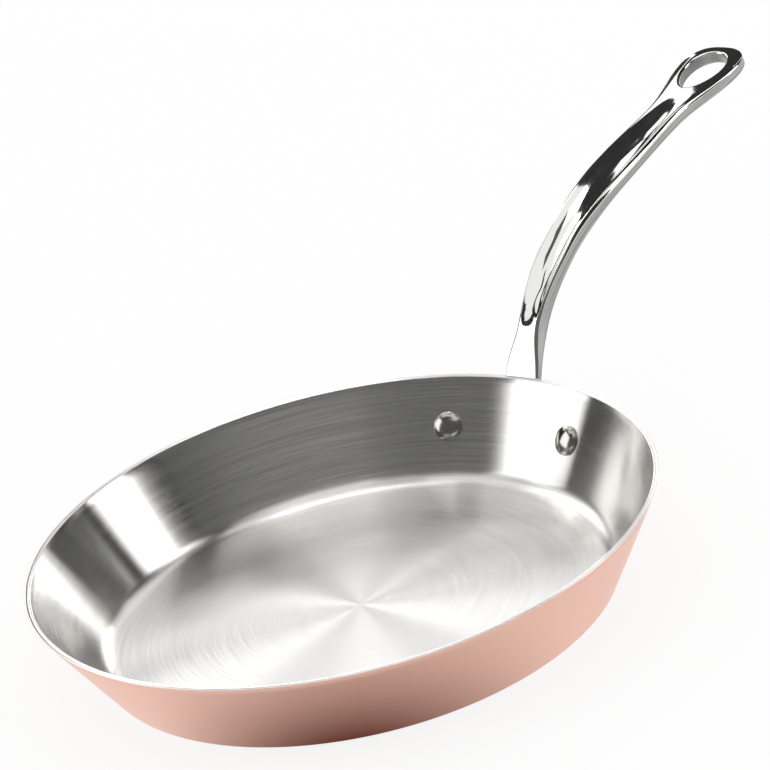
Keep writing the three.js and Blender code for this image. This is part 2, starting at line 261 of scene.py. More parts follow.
# %% Turn both rivets
left_rivet = rivet("left_rivet", RIVET_SPREAD)
right_rivet = rivet("right_rivet", -RIVET_SPREAD)

# %% [markdown]
# ## The handle's line
#
# The handle is one casting. Seen from the side, its top follows one sweeping line: it climbs
# steeply behind the rim and levels off towards the eye. A Bezier curve gives that sweep with two
# angles and two pulls. It is measured out evenly, so that every later size can be given at a
# distance along it. Below the rim the line runs down the wall, and the bend between the two is
# eased over a few millimetres, as a casting's would be.

# %% The crown line
REACH, RISE = 187.7, 72.5
NECK_ANGLE, TIP_ANGLE = np.radians(65.7), np.radians(12.2)
NECK_PULL, TIP_PULL = 75.2, 73.5
STEM_FOOT = 15.0
SWEEP_POINTS = 4001

rim_point = wall_point(0.0, WALL_SLANT, SEAT)[[0, 2]]
tip_point = np.array([RIM_RADIUS + REACH, PAN_HEIGHT + RISE])
pull_up = rim_point + NECK_PULL * np.array([np.cos(NECK_ANGLE), np.sin(NECK_ANGLE)])
pull_back = tip_point - TIP_PULL * np.array([np.cos(TIP_ANGLE), np.sin(TIP_ANGLE)])
t = np.linspace(0, 1, SWEEP_POINTS)[:, None]
sweep = ((1 - t) ** 3 * rim_point + 3 * t * (1 - t) ** 2 * pull_up
         + 3 * t ** 2 * (1 - t) * pull_back + t ** 3 * tip_point)
sweep_length = np.concatenate([[0], np.cumsum(np.hypot(*np.diff(sweep, axis=0).T))])
sweep_slope = np.unwrap(np.arctan2(*np.gradient(sweep, axis=0).T[::-1]))
LENGTH = sweep_length[-1]
print(f"crown line: {LENGTH:.1f} mm from the rim to the tip")

# %% The line measured out evenly, with its bend at the rim eased
STEP, SPARE, EASE_STEPS = 0.1, 10, 40
line_at = np.arange(STEM_FOOT - WALL_SLANT - SPARE, LENGTH + SPARE, STEP)
line_slope = np.where(line_at < 0, np.pi / 2 - WALL_LEAN,
                      np.interp(line_at, sweep_length, sweep_slope))
ease_over = np.hanning(2 * EASE_STEPS + 2)[1:-1]
padded = np.pad(line_slope, EASE_STEPS, mode="edge")
line_slope = np.convolve(padded, ease_over / ease_over.sum(), mode="same")[EASE_STEPS:-EASE_STEPS]
line_x = np.cumsum(np.cos(line_slope)) * STEP
line_z = np.cumsum(np.sin(line_slope)) * STEP
line_x += tip_point[0] - np.interp(LENGTH, line_at, line_x)
line_z += tip_point[1] - np.interp(LENGTH, line_at, line_z)
print(f"line: {len(line_at)} places, {STEP} mm apart")


def beside_line(distance, sideways, above):
    """A point at a distance along the crown line, moved sideways and square above the line."""
    slope = np.interp(distance, line_at, line_slope)
    x = np.interp(distance, line_at, line_x) - above * np.sin(slope)
    z = np.interp(distance, line_at, line_z) + above * np.cos(slope)
    return np.stack(np.broadcast_arrays(x, sideways, z), -1)


# %% [markdown]
# ## The handle's sizes along its line
#
# The casting is narrow and deep at the neck, where it carries the load, then wide and thin where
# it is held, and widest at the bow with the eye. Its shoulders are small along the grip and broad
# round the bow, which makes the bow look like a thick ring. A few named stations and a smooth step
# between them keep these changes gentle. The leaf is the long dish in the top: blunt at the neck,
# and drawn out to a narrow end towards the bow. Nearly the whole top is given to it.

# %% Widths, depths and the leaf
STEM_START = STEM_FOOT - WALL_SLANT
HALF_WIDTHS = [(STEM_START, 10.6), (0, 8.5), (22, 5.6), (60, 7.7), (112, 10.35), (154, 8.8),
               (197, 15.1)]
SHOULDER_DROPS = [(0, 0.6), (22, 1.4), (86, 2.6), (133, 2.6), (197, 1.6)]
SIDE_HEIGHTS = [(STEM_START, 1.1), (0, 1.8), (22, 5.5), (60, 3.9), (112, 2.6), (197, 3.4)]
TIP_LENGTH, TIP_FULLNESS = 16.0, 2.6
SHOULDER_WIDTHS = [(0, 1.2), (22, 1.6), (60, 1.5), (112, 2.5), (154, 2.1), (197, 4.8)]
BELLY = 0.9
LEAF_DEPTH, LEAF_MARGIN = 2.1, 0.2
LEAF_START, LEAF_BLUNT, LEAF_TAPER, LEAF_END = 20.0, 9.0, 54.0, 168.0
LEAF_RAMP, LEAF_RUNOUT = 20.0, 34.0
print(f"leaf: {LEAF_END - LEAF_START:.0f} mm long and {LEAF_DEPTH} mm deep")


# %% Sizes read off at any distance
def at_stations(stations, distance):
    """A size at a distance: between two stations the share t gives a step of 3t^2 - 2t^3."""
    at, value = np.array(stations, float).T
    k = np.clip(np.searchsorted(at, distance, side="right") - 1, 0, len(at) - 2)
    share = np.clip((distance - at[k]) / (at[k + 1] - at[k]), 0, 1)
    return value[k] + (value[k + 1] - value[k]) * share ** 2 * (3 - 2 * share)


def half_width(distance):
    """Half of the width, times a superellipse over the tip's length that rounds it off."""
    tip = np.clip((distance - (LENGTH - TIP_LENGTH)) / TIP_LENGTH, 0, 1)
    return at_stations(HALF_WIDTHS, distance) * (1 - tip ** TIP_FULLNESS) ** (1 / TIP_FULLNESS)


def crest(distance):
    """How far the flat land reaches sideways, from the middle to where the shoulder falls away."""
    return half_width(distance) - at_stations(SHOULDER_WIDTHS, distance)


def leaf_half_width(distance):
    """The leaf's half width: what the shoulder leaves of the top, times a short quarter ellipse
    at the neck and a long one at the bow."""
    neck = np.clip((distance - LEAF_START) / LEAF_BLUNT, 0, 1)
    bow = np.clip((LEAF_END - distance) / LEAF_TAPER, 0, 1)
    share = np.sqrt(1 - (1 - neck) ** 2) * np.sqrt(1 - (1 - bow) ** 2)
    widest = (crest(distance) + half_width(distance)) / 2 - LEAF_MARGIN
    return widest * share


def leaf_depth(distance):
    """The leaf's depth in its middle: a short ramp down from the neck, a long one up to the bow."""
    return LEAF_DEPTH * at_stations([(LEAF_START, 0), (LEAF_START + LEAF_RAMP, 1),
                                     (LEAF_END - LEAF_RUNOUT, 1), (LEAF_END, 0)], distance)


def quarter(distance_in, width):
    """0 at an edge and 1 from a width inwards, along a quarter of an ellipse."""
    return np.sqrt(1 - np.clip(1 - distance_in / width, 0, 1) ** 2)


print("half widths:", [round(float(half_width(place)), 1) for place in (0, 22, 112, 197)])

# %% [markdown]
# ## The handle's top, underside and sides
#
# The casting is built as two sheets, the top and the underside, over one plan of distance and
# sideways place. Both fall away near the outline by how far a point is from it, so the shoulder
# runs round the tip too. The eye is not cut: from the last stations on, the plan's grid fans out
# from the eye to the outline, so the hole is part of the grid and its lip can be rounded.

# %% The plan's outline
EYE_LENGTH, EYE_WIDTH, EYE_TAPER = 14.3, 9.3, 0.18
EYE_END_WALL, EYE_LIP = 6.0, 1.0
EYE_AT = LENGTH - EYE_END_WALL - EYE_LENGTH
BOW_START = 171.0
OUTLINE_STEP, TIP_STEPS = 0.25, 240

end = LENGTH - TIP_LENGTH
edge_at = np.concatenate([np.arange(STEM_START - 5, end, OUTLINE_STEP),
                          end + TIP_LENGTH * np.sin(np.linspace(0, np.pi / 2, TIP_STEPS))])
outline = np.stack([edge_at, half_width(edge_at)], -1)
print(f"outline: {len(outline)} points, eye at {EYE_AT:.1f} mm")


def distance_to(edge, first, second, batches=60):
    """The shortest distance from each point to a line of points: its nearest point is found, then
    the point is dropped square onto the two straight pieces that meet there."""
    place = np.stack([first.ravel(), second.ravel()], -1)
    near = np.concatenate([((part[:, None] - edge) ** 2).sum(-1).argmin(1)
                           for part in np.array_split(place, batches)])
    best = np.full(len(place), np.inf)
    for step in (-1, 0):
        start = np.clip(near + step, 0, len(edge) - 2)
        piece = edge[start + 1] - edge[start]
        long = np.maximum((piece ** 2).sum(-1), 1e-12)
        along = ((place - edge[start]) * piece).sum(-1) / long
        foot = edge[start] + np.clip(along, 0, 1)[:, None] * piece
        best = np.minimum(best, np.hypot(*(place - foot).T))
    return best.reshape(first.shape)


def from_outline(distance, sideways):
    """How far a plan point is from the handle's outline; both sides are alike."""
    return distance_to(outline, distance, np.abs(sideways))


# %% Heights of the top and the underside, and the grid's columns
def top_height(distance, sideways, inside):
    """The top, measured from the crown line: a rounded shoulder, less the leaf's shallow bowl."""
    drop = at_stations(SHOULDER_DROPS, distance)
    width = at_stations(SHOULDER_WIDTHS, distance)
    leaf = leaf_half_width(distance)
    across = np.clip(np.abs(sideways) / np.maximum(leaf, 1e-6), 0, 1)
    dish = leaf_depth(distance) * (1 - across ** 2)
    return -drop * (1 - quarter(inside, width)) - dish


def under_height(distance, inside):
    """The underside: level, with a small round along its edge."""
    side = at_stations(SHOULDER_DROPS, distance) + at_stations(SIDE_HEIGHTS, distance)
    return -side - BELLY * quarter(inside, BELLY)


def across_columns(distance, leaf_steps=12, land_steps=5, shoulder_steps=12):
    """Sideways places of the grid's columns: the leaf, the land beside it, then the shoulder,
    where they crowd towards the outline by a sine."""
    half = half_width(distance)[:, None]
    land = crest(distance)[:, None]
    edge = np.maximum(leaf_half_width(distance)[:, None], land / 3)
    leaf = edge * np.linspace(0, 1, leaf_steps + 1)[1:]
    foot = np.maximum(land, edge + 0.15 * (half - edge))
    flat = edge + (foot - edge) * np.linspace(0, 1, land_steps + 1)[1:]
    crowded = np.sin(np.linspace(0, np.pi / 2, shoulder_steps + 1)[1:])
    shoulder = foot + (half - foot) * crowded
    right = np.concatenate([leaf, flat, shoulder], 1)
    return np.concatenate([-right[:, ::-1], np.zeros_like(half), right], 1)


# %% The grip, from the stem's foot to the bow
STEM_STEP, LEAF_END_ROWS, LEAF_ROWS = 0.8, 32, 149
leaf_end = np.linspace(0, 1, LEAF_END_ROWS + 1)[:-1] ** 2
leaf_from, leaf_to = LEAF_START + LEAF_BLUNT, LEAF_END - LEAF_BLUNT
grip_at = np.concatenate([
    np.arange(STEM_START, LEAF_START, STEM_STEP),
    LEAF_START + LEAF_BLUNT * leaf_end,
    np.linspace(leaf_from, leaf_to, LEAF_ROWS + 1)[:-1],
    LEAF_END - LEAF_BLUNT * leaf_end[::-1],
    [LEAF_END + 1.5, BOW_START],
])
columns = across_columns(grip_at)
rows = np.broadcast_to(grip_at[:, None], columns.shape)
inside = from_outline(rows, columns)
inside[:, [0, -1]] = 0
grip_top = beside_line(rows, columns, top_height(rows, columns, inside))
grip_under = beside_line(rows, columns, under_height(rows, inside))
print("grip grid:", columns.shape)

# %% The side faces
SIDE_STEPS = np.linspace(0, 1, 9)


def side_strip(distance, sideways):
    """The side face, from the shoulder's foot straight down to the underside's round."""
    top = -at_stations(SHOULDER_DROPS, distance)
    under = top - at_stations(SIDE_HEIGHTS, distance)
    above = top[:, None] + (under - top)[:, None] * SIDE_STEPS
    return beside_line(distance[:, None], sideways[:, None], above)


print("sides:", [round(float(at_stations(SIDE_HEIGHTS, place)), 1) for place in (0, 22, 112, 197)])

# %% [markdown]
# ## The bow and its eye
#
# The bow is the wide end of the handle, and the eye in it hangs the pan on a hook. The eye is egg
# shaped and widest towards the tip. It could be cut out of the finished sheets, but a cut leaves
# ragged triangles that a mirror shows. So the rows of this grid run round the eye, and each next
# row lies a little nearer to the outline. The two lips of the eye are rounded by hand on the real
# casting, which gives a quarter round above and below a straight wall.

# %% The eye's outline
def eye_radius(angle, wider, table=2001):
    """The eye's outline as a distance from its middle: an ellipse whose width grows towards the
    tip, read off a fine table of its own angle."""
    turn = np.linspace(-np.pi, np.pi, table)
    lengthways = (EYE_LENGTH + wider) * np.cos(turn)
    sideways = (EYE_WIDTH + wider) * np.sin(turn) * (1 + EYE_TAPER * np.cos(turn))
    own = np.unwrap(np.arctan2(sideways, lengthways))
    return np.interp(angle, own, np.hypot(lengthways, sideways))


print(f"eye: {2 * EYE_LENGTH:.1f} mm long and {2 * EYE_WIDTH:.1f} mm wide")

# %% The fan's outer border, round the tip and back along the end of the grip
SIDE_TURNS, FAN_ROWS = 240, 22
bow = outline[outline[:, 0] >= BOW_START - 0.3]
bow_angle = np.arctan2(bow[:, 1], bow[:, 0] - EYE_AT)[::-1]
bow_radius = np.hypot(bow[:, 1], bow[:, 0] - EYE_AT)[::-1]
last = columns[-1]
cut_angle = np.arctan2(last, BOW_START - EYE_AT)
corner = cut_angle[-1]
side_angle = np.linspace(-corner, corner, SIDE_TURNS + 1)
side_radius = np.interp(np.abs(side_angle), bow_angle, bow_radius)
cut_turn = np.where(cut_angle <= 0, cut_angle + 2 * np.pi, cut_angle)[::-1]
cut_radius = np.hypot(last, BOW_START - EYE_AT)[::-1]
angle = np.concatenate([side_angle, cut_turn[1:]])
reach = np.concatenate([side_radius, cut_radius[1:]])
reach[[0, SIDE_TURNS, -1]] = cut_radius[0]
own_angle = (angle + np.pi) % (2 * np.pi) - np.pi
print("border:", len(angle), "points round the eye")

# %% The bow, fanned out from the eye
share = np.sin(np.linspace(0, np.pi / 2, FAN_ROWS))
eye_edge = eye_radius(own_angle, EYE_LIP)
spread = eye_edge + (reach - eye_edge) * share[:, None]
bow_rows = EYE_AT + spread * np.cos(angle)
bow_columns = spread * np.sin(angle)
bow_inside = from_outline(bow_rows, bow_columns)
bow_inside[-1, :SIDE_TURNS + 1] = 0
bow_inside[-1, SIDE_TURNS:] = inside[-1, ::-1]
bow_top = beside_line(bow_rows, bow_columns, top_height(bow_rows, bow_columns, bow_inside))
bow_under = beside_line(bow_rows, bow_columns, under_height(bow_rows, bow_inside))
print("bow grid:", bow_rows.shape)

# %% The eye's wall, with a quarter round at both lips
LIP_STEPS = 7
turn = np.linspace(0, np.pi / 2, LIP_STEPS + 1)
lip_wider, lip_below = EYE_LIP * (1 - np.sin(turn)), EYE_LIP * (1 - np.cos(turn))
eye_wider = np.concatenate([lip_wider, lip_wider[::-1]])
wall_radius = np.stack([eye_radius(own_angle, wider) for wider in eye_wider])
wall_rows = EYE_AT + wall_radius * np.cos(angle)
wall_columns = wall_radius * np.sin(angle)
top_edge = top_height(bow_rows[0], bow_columns[0], bow_inside[0])
under_edge = under_height(bow_rows[0], bow_inside[0])
wall_above = np.concatenate([top_edge - lip_below[:, None], under_edge + lip_below[::-1, None]])
eye_wall = beside_line(wall_rows, wall_columns, wall_above)
# The eye's wall below its upper lip gets a satin of 1: rougher, and painted darker as shade inside
# the hole.
eye_satin_and_painted_shade = np.where(np.arange(len(wall_above)) < LIP_STEPS, 0.0, 1.0)[:, None]
print(f"eye wall: {np.ptp(wall_above):.1f} mm high at most")

# %% [markdown]
# ## The flange
#
# Behind the rim the casting spreads into two wings that lie on the wall and take the rivets. It
# could be a plate bent with a modifier, but the wall is a cone, so the plate is worked out in
# the wall's own terms: an arc length, a height on the slant and a distance off the wall. Its
# outline swells to a round pad at each rivet and flows up into the stem.

# %% The flange's plan
PAD, FLANGE_FOOT, FLANGE_CROWN, FLANGE_CURVE = 9.8, 12.0, 42.0, 17.0
FLANGE_EDGE, FLANGE_ROUND = 0.9, 2.4
FLANGE_STEM, FLANGE_FILLET, FILLET_RISE = 8.5, 5.5, 4.5
FLANGE_COLUMNS, FLANGE_ROWS = 160, 40
arm_reach = RIVET_SPREAD * RIVET_RADIUS


def flange_edges(side):
    """The foot and the top of the flange at an arc length from its middle: level at the stem,
    then a smooth step to the round end of the rivet pad. A quarter round leads up to the stem."""
    side = np.abs(side)
    past = np.clip((side - arm_reach) / PAD, 0, 1)
    pad = PAD * np.sqrt(1 - past ** 2)
    share = np.clip((side - FLANGE_STEM) / FLANGE_CURVE, 0, 1)
    share = share ** 2 * (3 - 2 * share)
    climb = np.clip((FLANGE_STEM + FLANGE_FILLET - side) / FLANGE_FILLET, 0, 1)
    fillet = FILLET_RISE * (1 - np.sqrt(1 - climb ** 2))
    top = fillet + FLANGE_CROWN + (RIVET_UP + pad - FLANGE_CROWN) * share
    foot = FLANGE_FOOT + (RIVET_UP - pad - FLANGE_FOOT) * share
    return foot, top


side = (arm_reach + PAD) * np.sin(np.linspace(-np.pi / 2, np.pi / 2, FLANGE_COLUMNS + 1))
foot, top = flange_edges(side)
print(f"flange: {np.ptp(side):.1f} mm wide and {np.ptp(np.stack([foot, top])):.1f} mm high")

# %% The flange's front and back
border = np.concatenate([np.stack([side, foot], -1), np.stack([side, top], -1)[::-1]])
up_share = 0.5 - 0.5 * np.cos(np.linspace(0, np.pi, FLANGE_ROWS + 1))
flange_up = foot[:, None] + (top - foot)[:, None] * up_share
flange_side = np.broadcast_to(side[:, None], flange_up.shape)
flange_in = distance_to(border, flange_side, flange_up)
flange_in[[0, -1], :] = 0
flange_in[:, [0, -1]] = 0
rise = FLANGE_EDGE + (FLANGE - FLANGE_EDGE) * quarter(flange_in, FLANGE_ROUND)
flange_front = wall_point(flange_side / RIVET_RADIUS, flange_up, SEAT + rise)
flange_back = wall_point(flange_side / RIVET_RADIUS, flange_up, SEAT)
print("flange grid:", flange_up.shape)

# %% [markdown]
# ## The casting in one piece
#
# The grip, the bow, the eye's wall, the sides and the flange are one cast piece, so their grids go
# into one mesh. The grids share their border points, so the arm closes without a gap. The flange
# is a closed shell of its own that runs into the stem. Joining the two by a cut would leave
# slivers along the joint, and the joint is hidden behind the wall. Each grid also says how satin
# it is: the top is polished, and the ground sides, the underside and the flange are not.

# %% Put the casting together
SIDE_SATIN, UNDER_SATIN, FLANGE_SATIN = 0.7, 0.6, 0.5


def sheet(points, satin=0.0, flip=False):
    """A patch whose texture positions are the shares along and across its grid."""
    rows, columns = points.shape[:2]
    return {"points": points, "uv": (np.linspace(0, 1, rows), np.linspace(0, 1, columns)),
            "satin": satin, "flip": flip}


def between(first, second, steps):
    """A grid of straight lines from one row of points to another."""
    return first + (second - first) * np.asarray(steps)[:, None, None]


side_distance = EYE_AT + side_radius * np.cos(side_angle)
side_sideways = side_radius * np.sin(side_angle)
handle = make_piece("handle_casting", [
    sheet(grip_top, flip=True),
    sheet(grip_under, UNDER_SATIN),
    sheet(side_strip(grip_at, columns[:, -1]), SIDE_SATIN, flip=True),
    sheet(side_strip(grip_at, columns[:, 0]), SIDE_SATIN),
    sheet(between(grip_top[0], grip_under[0], SIDE_STEPS), UNDER_SATIN),
    sheet(bow_top, flip=True),
    sheet(bow_under, UNDER_SATIN),
    sheet(side_strip(side_distance, side_sideways), SIDE_SATIN),
    sheet(eye_wall, eye_satin_and_painted_shade),
    sheet(flange_front, FLANGE_SATIN, flip=True),
    sheet(flange_back, FLANGE_SATIN),
    sheet(between(flange_front[:, 0], flange_back[:, 0], [0, 1]), FLANGE_SATIN, flip=True),
    sheet(between(flange_front[:, -1], flange_back[:, -1], [0, 1]), FLANGE_SATIN),
])

# %% [markdown]
# ## Materials
#
# Bare metal has no colour of its own under the light: it tints what it mirrors. What tells one
# metal surface from another is the finish. So each metal is one shader with a tone and a
# roughness, and noise patterns move both a little. The helpers below each add one small step to
# a material's tree of nodes, which keeps the finishes themselves short.

# %% Helpers: a new material and the places on a piece
def new_material(name):
    """A new material and its tree of nodes."""
    material = bpy.data.materials.new(name)
    material.use_nodes = True
    return material, material.node_tree


def feed(tree, socket, value):
    """Gives a socket its value: a link from another socket, a number, or a tone of three."""
    if isinstance(value, bpy.types.NodeSocket):
        tree.links.new(value, socket)
    elif socket.type == "RGBA":
        socket.default_value = (*value, 1)
    else:
        socket.default_value = value


def object_place(tree):
    """The place of a point on its piece, in metres."""
    return tree.nodes.new("ShaderNodeTexCoord").outputs["Object"]


def grid_place(tree):
    """The place of a point on its grid, along and across."""
    node = tree.nodes.new("ShaderNodeUVMap")
    node.uv_map = UV_NAME
    return node.outputs["UV"]


def parts(tree, vector):
    """The three numbers of a vector, by the names X, Y and Z."""
    node = tree.nodes.new("ShaderNodeSeparateXYZ")
    tree.links.new(vector, node.inputs[0])
    return node.outputs


# %% Helpers: sums and noise
def operation(tree, kind, *values):
    """One vector operation: each value is a socket or three numbers."""
    node = tree.nodes.new("ShaderNodeVectorMath")
    node.operation = kind
    for socket, value in zip(node.inputs, values):
        feed(tree, socket, value)
    return node.outputs["Value" if kind == "LENGTH" else "Vector"]


def arithmetic(tree, kind, *values):
    """One operation on plain numbers: each value is a socket or a number."""
    node = tree.nodes.new("ShaderNodeMath")
    node.operation = kind
    for socket, value in zip(node.inputs, values):
        feed(tree, socket, value)
    return node.outputs[0]


def noise(tree, place, scale, detail=2.0):
    """A soft random pattern from 0 to 1 that changes scale times along one unit of place."""
    node = tree.nodes.new("ShaderNodeTexNoise")
    node.inputs["Scale"].default_value = scale
    node.inputs["Detail"].default_value = detail
    tree.links.new(place, node.inputs["Vector"])
    return node.outputs["Fac"]


def remap(tree, value, low, high, start=0.3, stop=0.7, smooth=False):
    """Turns a number from start to stop into one from low to high, evenly or in a smooth step."""
    node = tree.nodes.new("ShaderNodeMapRange")
    node.interpolation_type = "SMOOTHSTEP" if smooth else "LINEAR"
    for socket, number in zip(list(node.inputs)[1:5], (start, stop, low, high)):
        socket.default_value = number
    tree.links.new(value, node.inputs["Value"])
    return node.outputs["Result"]


# %% Helpers: blends, and what a pattern does to the metal
def mixed(tree, value, first, second, kind="RGBA"):
    """A tone or a number between two others: 0 gives the first and 1 the second."""
    mix = tree.nodes.new("ShaderNodeMix")
    mix.data_type = kind
    for name, part in (("Factor", value), ("A", first), ("B", second)):
        feed(tree, mix.inputs[name], part)
    return mix.outputs["Result"]


def blended(tree, share, first, second):
    """A blend of two shaders: a share of 0 gives the first and 1 the second."""
    mix = tree.nodes.new("ShaderNodeMixShader")
    for socket, value in zip(mix.inputs, (share, first, second)):
        tree.links.new(value, socket)
    return mix.outputs[0]


def tint(tree, shader, value, dark, light):
    """Lets a pattern move the metal's colour between two close tones."""
    tree.links.new(mixed(tree, value, dark, light), shader.inputs["Base Color"])


def relief(tree, shader, value, strength, depth):
    """Lets a pattern tilt the surface a little."""
    bump = tree.nodes.new("ShaderNodeBump")
    bump.inputs["Strength"].default_value = strength
    bump.inputs["Distance"].default_value = depth
    tree.links.new(value, bump.inputs["Height"])
    tree.links.new(bump.outputs["Normal"], shader.inputs["Normal"])


# %% A metal shader
def metal(name, colour, roughness, anisotropy=0.0):
    """A metal with one colour and finish, and the tree that the patterns are added to."""
    material, tree = new_material(name)
    shader = tree.nodes["Principled BSDF"]
    shader.inputs["Base Color"].default_value = (*colour, 1)
    shader.inputs["Metallic"].default_value = 1
    shader.inputs["Roughness"].default_value = roughness
    shader.inputs["Anisotropic"].default_value = anisotropy
    if anisotropy:
        tangent = tree.nodes.new("ShaderNodeTangent")
        tangent.direction_type = "UV_MAP"
        tangent.uv_map = UV_NAME
        tree.links.new(tangent.outputs["Tangent"], shader.inputs["Tangent"])
    print(f"{name}: roughness about {roughness}, stretched by {anisotropy}")
    return material, tree, shader


# %% [markdown]
# ## Brushed rings
#
# The bowl is brushed round and round, inside and out, so each point mirrors sharply round the pan
# and smears widely up and down. A picture of scratches could show that, but only from afar.
# Anisotropy does it from any distance, and a tangent that runs up the profile says which way to
# smear. Fine rings, made from a noise that is stretched round the axis, add the brush marks.

# %% The ring pattern
def ring_noise(tree, per_metre, wander, detail=4.0):
    """Noise in rings about +Z: it changes per_metre times along radius plus height, and only
    wander times on the way round, so it is nearly the same all along a ring."""
    place = object_place(tree)
    level = operation(tree, "MULTIPLY", place, (1, 1, 0))
    around = operation(tree, "NORMALIZE", level)
    around = operation(tree, "MULTIPLY", around, (wander, wander, 0))
    height = operation(tree, "MULTIPLY", place, (0, 0, per_metre))
    outwards = operation(tree, "MULTIPLY", (0, 0, per_metre), operation(tree, "LENGTH", level))
    total = operation(tree, "ADD", operation(tree, "ADD", around, height), outwards)
    return noise(tree, total, 1, detail)


RINGS_PER_METRE, RING_DEPTH = 2600, 0.00002
print(f"rings: about {1000 / RINGS_PER_METRE:.1f} mm apart")

# %% [markdown]
# ## The copper outside
#
# The outside of the pan is copper with a satin brush. Along the lip its colour is painted paler:
# a painted highlight that stands in for the bright line of light along the rim. A second material
# could mark the lip, but the height of a point says just as well where the lip starts, and the line
# stays sharp on any mesh.

# %% Satin copper
LIP_HIGHLIGHT_FROM, LIP_HIGHLIGHT_TO = 0.0399, 0.0402
copper, tree, shader = metal("satin_copper", (0.88, 0.55, 0.45), 0.36, 0.8)
rings = ring_noise(tree, RINGS_PER_METRE, 3.0)
tree.links.new(remap(tree, rings, 0.33, 0.40), shader.inputs["Roughness"])
brushed = mixed(tree, rings, (0.85, 0.52, 0.42), (0.90, 0.58, 0.48))
# Painted highlight: from a height of 39.9 mm up, the copper is painted paler, as the bright line of
# light along the rim.
lip = remap(tree, parts(tree, object_place(tree))["Z"], 0, 1, LIP_HIGHLIGHT_FROM, LIP_HIGHLIGHT_TO)
tint(tree, shader, lip, brushed, (0.90, 0.76, 0.70))
relief(tree, shader, rings, 0.12, RING_DEPTH)

# %% [markdown]
# ## The steel inside and the aluminium between
#
# The cooking surface is spun steel, brushed a little finer on the wall than on the floor. Two
# materials would leave a seam where the floor turns up, so the height of a point moves the finish
# from one to the other. The aluminium shows only as the thin pale line in the rim, which is
# turned smooth, so its rings are closer and need no smear.

# %% Spun steel and turned aluminium
WALL_FROM, WALL_TO, WALL_FINISH = 0.003, 0.009, 0.8
spun_steel, tree, shader = metal("spun_steel", (0.80, 0.79, 0.77), 0.24, 1.0)
rings = ring_noise(tree, RINGS_PER_METRE, 2.5, 5.0)
on_wall = remap(tree, parts(tree, object_place(tree))["Z"], 1, WALL_FINISH, WALL_FROM, WALL_TO)
finish = arithmetic(tree, "MULTIPLY", remap(tree, rings, 0.21, 0.27), on_wall)
tree.links.new(finish, shader.inputs["Roughness"])
streaks = remap(tree, rings, 0, 1, 0.35, 0.65)
tint(tree, shader, streaks, (0.74, 0.73, 0.71), (0.84, 0.83, 0.81))
relief(tree, shader, rings, 0.1, RING_DEPTH)

aluminium, tree, shader = metal("turned_aluminium", (0.80, 0.80, 0.79), 0.35)
rings = ring_noise(tree, 6000, 8.0)
tint(tree, shader, rings, (0.76, 0.76, 0.75), (0.84, 0.84, 0.83))
relief(tree, shader, rings, 0.2, 0.00001)

# %% [markdown]
# ## The polished casting and the rivets
#
# The casting is polished only where a hand or an eye meets it. Its sides are ground, which leaves
# long faint strokes, and the wall of the eye is left rougher below its polished lip, with its
# colour painted darker there as a painted shade inside the hole. Each could be a material of its
# own, but the real finish changes within one face, as at the lip. So every point carries a number
# that says how satin it is, and one shader mixes the two finishes by it. The rivets have the same
# shader with a darker tone and a softer polish.

# %% Polished casting and rivets
WAVES, GRAIN, STROKES = 90, 2500, (3, 6, 0)


def polished(name, colour, roughness, satin_roughness, waviness):
    """Mirror steel: a soft cloud pattern gives the faint waves of hand polishing. The satin
    attribute roughens the faces that are only ground and gives them the strokes of the belt.
    Above 0.7, which only the eye's wall reaches, it also paints the colour darker: a painted shade."""
    material, tree, shader = metal(name, colour, roughness)
    cloud = noise(tree, object_place(tree), WAVES)
    grain = noise(tree, object_place(tree), GRAIN)
    attribute = tree.nodes.new("ShaderNodeAttribute")
    attribute.attribute_name = "satin"
    satin = attribute.outputs["Fac"]
    strokes = noise(tree, operation(tree, "MULTIPLY", grid_place(tree), STROKES), 1, 3)
    strokes = remap(tree, strokes, -0.4, 1.3, 0.4, 0.62)
    # Painted shade: the belt strokes darken the ground faces, and above a satin of 0.7 the colour
    # is painted darker still, as shade inside the eye.
    strokes_and_painted_shade = arithmetic(tree, "MULTIPLY_ADD", satin, strokes, remap(tree, satin, 0, 1, 0.7, 1))
    tint(tree, shader, strokes_and_painted_shade, colour, tuple(0.55 * part for part in colour))
    polish = remap(tree, cloud, roughness * 0.8, roughness * 1.2)
    ground = remap(tree, grain, satin_roughness * 0.9, satin_roughness * 1.1)
    tree.links.new(mixed(tree, satin, polish, ground, "FLOAT"), shader.inputs["Roughness"])
    relief(tree, shader, cloud, waviness, 0.0002)
    return material


cast_steel = polished("polished_cast_steel", (0.83, 0.83, 0.82), 0.06, 0.42, 0.03)
rivet_steel = polished("polished_rivet_steel", (0.52, 0.51, 0.47), 0.17, 0.3, 0.06)

# %% [markdown]
# ## Each piece in its place
#
# Every smooth piece stands in for one solid of the real pan. Nothing on the pan moves, so all of
# them ride on the root.

# %% Give each piece its finish and its place in the pan
pieces = [
    (copper_skin, copper, "copper_shell", "copper_shell"),
    (core_band, aluminium, "aluminium_core", "aluminium_core"),
    (steel_bowl, spun_steel, "steel_lining", "steel_lining"),
    (handle, cast_steel, "handle", "handle"),
    (left_rivet, rivet_steel, "rivet_left", "rivets"),
    (right_rivet, rivet_steel, "rivet_right", "rivets"),
]
for piece, material, solid, slot in pieces:
    piece.data.materials.append(material)
    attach(piece, "root")
    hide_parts(solid)
    print(f"{piece.name} stands in for {solid}, in {material.name}")

# %% [markdown]
# ## The studio
#
# Metal shows the room more than itself, so the room is built with care. The room is white all
# round. A white floor that is only lit would come out grey, so what the camera and the metal see
# of it glows for the most part, and the rest of it takes the pan's faint shadow.

# %% A white room
world = bpy.data.worlds.new("white_room")
bpy.context.scene.world = world
world.use_nodes = True
background = world.node_tree.nodes["Background"]
background.inputs["Color"].default_value = (1, 1, 1, 1)
print("room: white, at a strength of", background.inputs["Strength"].default_value)

